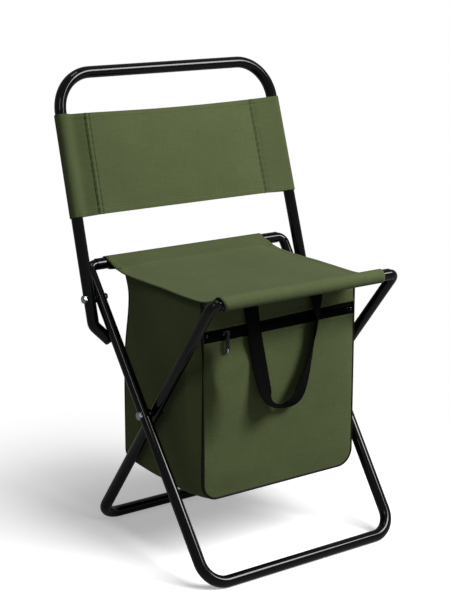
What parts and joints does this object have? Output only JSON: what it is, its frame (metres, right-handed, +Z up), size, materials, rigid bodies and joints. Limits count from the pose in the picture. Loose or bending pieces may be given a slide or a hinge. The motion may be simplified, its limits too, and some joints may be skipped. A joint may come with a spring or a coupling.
{
  "type": "folding cooler stool",
  "caption": "Folding stool with a crossed tube frame, cloth seat, hooked folding backrest and a zipped insulated bag under the seat.",
  "frame": {"origin": "on the floor under the middle of the open stool", "axes": "+X to the right of a viewer in front, +Y to the rear, +Z up; the front faces -Y"},
  "size_m": [0.391, 0.3385, 0.6448],
  "materials": {
    "black_powder_coat": "gloss black powder coat on steel tube",
    "zinc_plate": "bright zinc plate",
    "blackened_steel": "blackened steel",
    "black_plastic": "moulded black plastic",
    "olive_cloth": "plain woven polyester cloth, coated inside",
    "black_cloth": "black woven tape and webbing",
    "foil_foam": "thin foam with a silvered face",
    "zip_metal": "dark plated metal"
  },
  "bodies": {
    "outer_frame": {"outer_leg_frame": "black_powder_coat", "rear_seat_bar": "black_powder_coat", "seat_cloth": "olive_cloth", "bag_gusset": "olive_cloth", "bag_back_panel": "olive_cloth", "back_piping": "black_cloth", "insulation_gusset": "foil_foam", "insulation_back": "foil_foam", "insulation_lid": "foil_foam", "leg_pivot_bolt_left": "zinc_plate", "leg_pivot_bolt_right": "zinc_plate", "leg_pivot_nut_left": "blackened_steel", "leg_pivot_nut_right": "blackened_steel", "leg_pivot_washer_left": "black_plastic", "leg_pivot_washer_right": "black_plastic", "backrest_bolt_left": "zinc_plate", "backrest_bolt_right": "zinc_plate", "backrest_nut_left": "blackened_steel", "backrest_nut_right": "blackened_steel", "backrest_washer_left": "black_plastic", "backrest_washer_right": "black_plastic"},
    "inner_frame": {"inner_leg_frame": "black_powder_coat", "front_seat_bar": "black_powder_coat", "seat_front_sleeve": "olive_cloth"},
    "backrest": {"backrest_frame": "black_powder_coat", "backrest_cloth": "olive_cloth", "hook_plug_left": "black_plastic", "hook_plug_right": "black_plastic"},
    "bag_front": {"bag_front_panel": "olive_cloth", "bag_zip_band": "olive_cloth", "zip_tape_upper": "black_cloth", "zip_tape_lower": "black_cloth", "zip_coil": "black_plastic", "zip_stop_left": "zip_metal", "zip_stop_right": "zip_metal", "front_piping": "black_cloth", "insulation_front": "foil_foam"},
    "zip_slider": {"zip_slider": "zip_metal"},
    "zip_pull": {"zip_pull": "zip_metal"},
    "handle": {"carry_handle": "black_cloth"}
  },
  "joints": [
    {"name": "frame_fold", "type": "hinge", "parent": "outer_frame", "child": "inner_frame", "pos_m": [0, -0.02284, 0.20377], "axis": [-1, 0, 0], "range_deg": [0, 67], "deforming": ["seat_cloth", "bag_gusset", "insulation_gusset", "insulation_lid"]},
    {"name": "backrest_fold", "type": "hinge", "parent": "outer_frame", "child": "backrest", "pos_m": [0, 0.07596, 0.34502], "axis": [1, 0, 0], "range_deg": [0, 82]},
    {"name": "bag_collapse", "type": "slide", "parent": "outer_frame", "child": "bag_front", "axis": [0, 1, 0], "range_m": [0, 0.166]},
    {"name": "zip_slide", "type": "slide", "parent": "bag_front", "child": "zip_slider", "axis": [1, 0, 0], "range_m": [-0.0222, 0.2052]},
    {"name": "zip_pull_swing", "type": "hinge", "parent": "zip_slider", "child": "zip_pull", "pos_m": [-0.09149, -0.11088, 0.32234], "axis": [-1, 0, 0], "range_deg": [0, 100]},
    {"name": "handle_lift", "type": "hinge", "parent": "bag_front", "child": "handle", "pos_m": [0, -0.10707, 0.364], "axis": [-1, 0, 0], "range_deg": [0, 70]}
  ],
  "couplings": [
    {"joint": "bag_collapse", "follows": "frame_fold", "m_per_rad": 0.1419}
  ]
}
